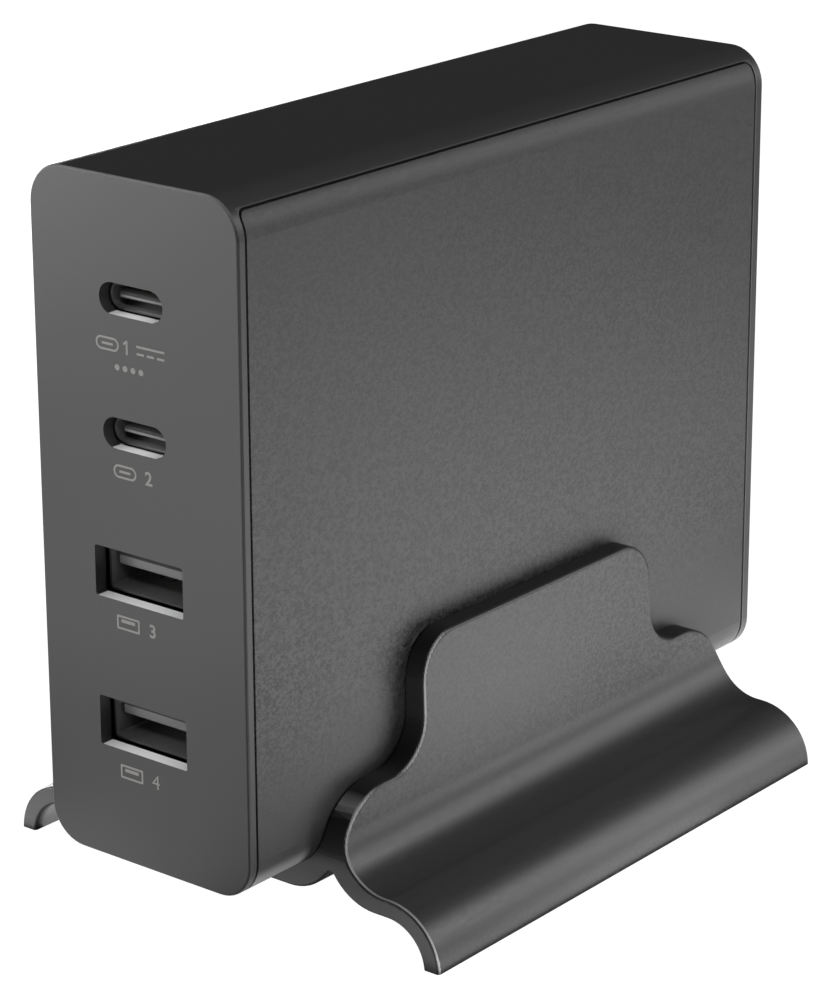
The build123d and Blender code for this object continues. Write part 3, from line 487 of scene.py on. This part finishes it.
def pill(bm, x0, z0):
    prism(bm, slot_points(3.5, 1.6, 0.799), x0, z0, slot_points(3.0, 1.1, 0.549))
    bar(bm, x0, z0, 1.7, 0.28)


def block(bm, x0, z0):
    prism(bm, slot_points(3.5, 1.7, 0.16), x0, z0, slot_points(3.0, 1.2, 0.1))
    bar(bm, x0, z0 + 0.22, 2.1, 0.40)


def one(bm, x0, z0):
    prism(bm, [(0.24, -0.82), (0.24, 0.82), (-0.02, 0.82), (-0.42, 0.50), (-0.42, 0.20), (-0.04, 0.48), (-0.04, -0.82)], x0, z0)


def mark_c1(bm):
    pill(bm, PORT_X - 3.7, 70.60)
    one(bm, PORT_X - 0.85, 70.60)
    direct_current(bm, PORT_X + 2.8, 70.60, 4.2)
    for i in range(4):
        prism(bm, slot_points(0.72, 0.72, 0.359, 5), PORT_X - 0.5 + (i - 1.5) * 1.2, 68.10)


def mark_c2(bm):
    pill(bm, PORT_X - 1.6, 55.92)
    digit(bm, "2", PORT_X + 2.0, 55.92, 1.65)


def mark_a1(bm):
    block(bm, PORT_X - 1.8, 37.75)
    digit(bm, "3", PORT_X + 1.95, 37.75, 1.65)


def mark_a2(bm):
    block(bm, PORT_X - 1.95, 19.30)
    digit(bm, "4", PORT_X + 1.8, 19.30, 1.75, -0.004)


for name, build in (("mark_port_1", mark_c1), ("mark_port_2", mark_c2), ("mark_port_3", mark_a1), ("mark_port_4", mark_a2)):
    mark(name, build)

# ------------------------------------------------------------------ floor, light and camera
floor_mesh = bpy.data.meshes.new("floor")
floor_mesh.from_pydata([(-4, -4, 0), (4, -4, 0), (4, 4, 0), (-4, 4, 0)], [], [(0, 1, 2, 3)])
floor = bpy.data.objects.new("floor", floor_mesh)
scene.collection.objects.link(floor)
# a pale sweep: it shows as plain white, and gives the object only the light that the lamps bounce off it
fm = Mat("floor_finish")
fn = fm.noise(0.02, 2.0, 0.5)
path = fm.t.nodes.new("ShaderNodeLightPath")
fm.set(Base_Color=fm.mix(fn, (0.20, 0.20, 0.20), (0.24, 0.24, 0.24)), Roughness=0.9, Specular_IOR_Level=0.0,
       Emission_Color=(1.0, 1.0, 1.0), Emission_Strength=fm.math("MULTIPLY", path.outputs["Is Camera Ray"], 1.0))
floor_mesh.materials.append(fm.m)
floor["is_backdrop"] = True

world = bpy.data.worlds.new("studio")
scene.world = world
world.use_nodes = True
wt = world.node_tree
wb = wt.nodes["Background"]
wb.inputs[0].default_value = (1, 1, 1, 1)
# white behind the object, and only a trace of light from all around
seen = wt.nodes.new("ShaderNodeLightPath")
glow = wt.nodes.new("ShaderNodeMapRange")
glow.inputs["To Min"].default_value = 0.015
glow.inputs["To Max"].default_value = 1.0
wt.links.new(seen.outputs["Is Camera Ray"], glow.inputs["Value"])
wt.links.new(glow.outputs["Result"], wb.inputs[1])


def area(name, place, aim, size, watts):
    light = bpy.data.lights.new(name, "AREA")
    light.shape = "RECTANGLE"
    light.size, light.size_y = size
    light.energy = watts
    o = bpy.data.objects.new(name, light)
    o.location = place
    o.rotation_euler = (Vector(aim) - Vector(place)).to_track_quat("-Z", "Y").to_euler()
    o.visible_camera = False
    scene.collection.objects.link(o)
    return o


def around(name, azimuth, distance, height, size, watts):
    """A soft box at an azimuth from the port face (90 is the right side), aimed at the middle of the object."""
    a = math.radians(azimuth)
    return area(name, (distance * math.sin(a), -distance * math.cos(a), height), (0, 0, 0.045), size, watts)


def card(name, x0, x1, y0, y1, brightness):
    """A bright card lying on the floor, shining up."""
    w, h = x1 - x0, y1 - y0
    o = area(name, ((x0 + x1) / 2, (y0 + y1) / 2, 0.00003), (0, 0, 1), (w, h), brightness * math.pi * w * h)
    o.rotation_euler = (math.pi, 0, 0)
    return o


# soft boxes: azimuth, distance, height, side, watts
BOXES = (
    (315, 0.5, 0.055, 0.1, 0.86),
    (290, 0.321, 0.428, 0.15, 0.244),
    (150, 1.496, 0.15, 0.3, 1.05),
    (140, 1.449, 0.433, 0.3, 1.8),
    (130, 1.299, 0.795, 0.3, 2.36),
    (140, 1.299, 0.795, 0.3, 1.82),
    (180, 0.104, 0.6, 0.28, 0.282),
)
# bright cards on the floor: x and y from and to in millimetres, brightness
CARDS = (
    (34, 44, -40, -10, 1.8),
    (34, 44, -10, 20, 2.1),
    (34, 44, 20, 50, 1.2),
    (44, 60, -10, 20, 2.3),
    (44, 60, 20, 50, 3.6),
    (44, 60, 50, 90, 1.92),
    (60, 90, -10, 20, 2.2),
    (60, 90, 20, 50, 2.83),
    (60, 90, 50, 90, 2.9),
    (60, 90, 90, 180, 1.72),
    (90, 150, 20, 50, 2.1),
    (90, 150, 50, 90, 2.71),
    (90, 150, 90, 180, 2.6),
    (150, 260, 90, 180, 2.97),
    (-100, -35, -52, -40, 1.48),
    (0, 34, -52, -40, 0.71),
    (-35, 0, -68, -52, 1.05),
    (-35, 0, -100, -68, 0.92),
    (-100, -35, -170, -100, 2.09),
    (-100, -35, -300, -170, 4.92),
    (90, 260, -260, -90, 2.02),
    (-34, 34, 52, 70, 2.18),
    (-34, 34, 70, 90, 2.86),
    (-33, -17, -37, 0, 1.5),
    (-33, -17, 0, 38, 1.0),
    (-60, -17, -50, -39, 1.3),
    (16, 26, -50, -40, 2.5),
    (34, 60, -62, -40, 2.0),
    (60, 110, -90, -40, 2.0),
)
# small strips under the upper edge of each port opening, shining down on its pale lower edge, and under each tongue
for i, (z, w, h, p, q) in enumerate([(z, 5.8, 3.67, 0.00012, 0.00001) for z in USB_C_Z] + [(z, 12.4, 6.1, 0.00033, 0.000028) for z in USB_A_Z]):
    y, high = FRONT_Y + 0.6, z + h / 2 - 0.12
    area("port_strip_%d" % i, (PORT_X * MM, y * MM, high * MM), (PORT_X * MM, y * MM, 0.0), (w * MM, 0.8 * MM), p)
    y, high, d = (FRONT_Y + 4.0, z - 0.42, 3.0) if h < 5 else (FRONT_Y + 7.5, z + 0.05, 6.0)
    area("port_fill_%d" % i, (PORT_X * MM, y * MM, high * MM), (PORT_X * MM, y * MM, 0.0), (0.8 * w * MM, d * MM), q)
for i, (a, d, h, w, p) in enumerate(BOXES):
    around("box_%02d" % i, a, d, h, (w, w), p)
# a low strip that lights only the left side and the rear face, and stays below the top
around("left_strip", 250, 0.4, 0.045, (0.3, 0.07), 1.0)
for i, (x0, x1, y0, y1, p) in enumerate(CARDS):
    card("card_%02d" % i, x0 * MM, x1 * MM, y0 * MM, y1 * MM, p)

az, el, roll = math.radians(38.501), math.radians(18.118), math.radians(0.09)
back = Vector((math.sin(az) * math.cos(el), -math.cos(az) * math.cos(el), math.sin(el)))
right = Vector((math.cos(az), math.sin(az), 0.0))
up = back.cross(right)
cam_data = bpy.data.cameras.new("camera")
cam = bpy.data.objects.new("camera", cam_data)
scene.collection.objects.link(cam)
turn = Matrix((right, up, back)).transposed() @ Matrix.Rotation(-roll, 3, "Z")
cam.matrix_world = Matrix.Translation((0.256088, -0.318780, 0.180270)) @ turn.to_4x4()
cam_data.sensor_width = 36.0
cam_data.sensor_fit = "AUTO"
cam_data.lens = 3502.12 / 1000.0 * 36.0
cam_data.shift_x = -(437.8 - 415.0) / 1000.0
cam_data.shift_y = -(500.0 - 446.5) / 1000.0
cam_data.clip_start = 0.01
cam_data.clip_end = 20
scene.camera = cam

scene.view_settings.view_transform = "Standard"
scene.view_settings.look = "None"

low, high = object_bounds()
